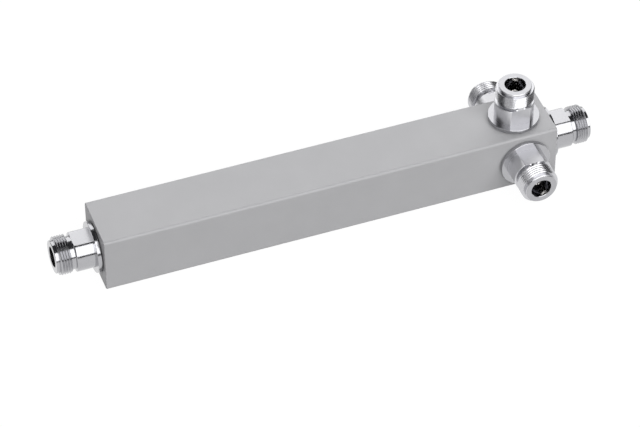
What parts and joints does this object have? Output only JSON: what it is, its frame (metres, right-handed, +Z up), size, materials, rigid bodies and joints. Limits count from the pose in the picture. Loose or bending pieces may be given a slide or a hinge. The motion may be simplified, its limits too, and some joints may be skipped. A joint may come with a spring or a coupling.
{
  "type": "rf power splitter",
  "caption": "Square aluminium bar with a threaded coaxial jack on each end and more round its output end; a stepped inner line shares radio power.",
  "frame": {"origin": "centre of the bar's bottom face, below the middle of its length", "axes": "+X along the bar towards the output ports, +Y towards the back port, +Z up through the top port"},
  "size_m": [0.2278, 0.0612, 0.0433],
  "materials": {
    "bar_aluminium": "matte, fine drawn grain",
    "plug_aluminium": "matte, turned",
    "plated_shell": "bright white bronze plating on turned brass",
    "contact_silver": "silver plated",
    "line_silver": "silver plated, turned",
    "bush_brass": "plated, turned",
    "insulator_black": "moulded, dull black",
    "bead_white": "waxy, white",
    "gasket_black": "matte"
  },
  "bodies": {
    "root": {"bar": "bar_aluminium", "input_plug": "plug_aluminium", "end_plug": "plug_aluminium", "inner_line": "line_silver", "input_support_bead": "bead_white", "output_support_bead": "bead_white", "input_shell": "plated_shell", "input_gasket": "gasket_black", "input_insulator": "insulator_black", "input_bush": "bush_brass", "input_contact": "contact_silver", "end_shell": "plated_shell", "end_gasket": "gasket_black", "end_insulator": "insulator_black", "end_bush": "bush_brass", "end_contact": "contact_silver", "front_shell": "plated_shell", "front_gasket": "gasket_black", "front_insulator": "insulator_black", "front_bush": "bush_brass", "front_contact": "contact_silver", "back_shell": "plated_shell", "back_gasket": "gasket_black", "back_insulator": "insulator_black", "back_bush": "bush_brass", "back_contact": "contact_silver", "top_shell": "plated_shell", "top_gasket": "gasket_black", "top_insulator": "insulator_black", "top_bush": "bush_brass", "top_contact": "contact_silver"}
  },
  "joints": []
}
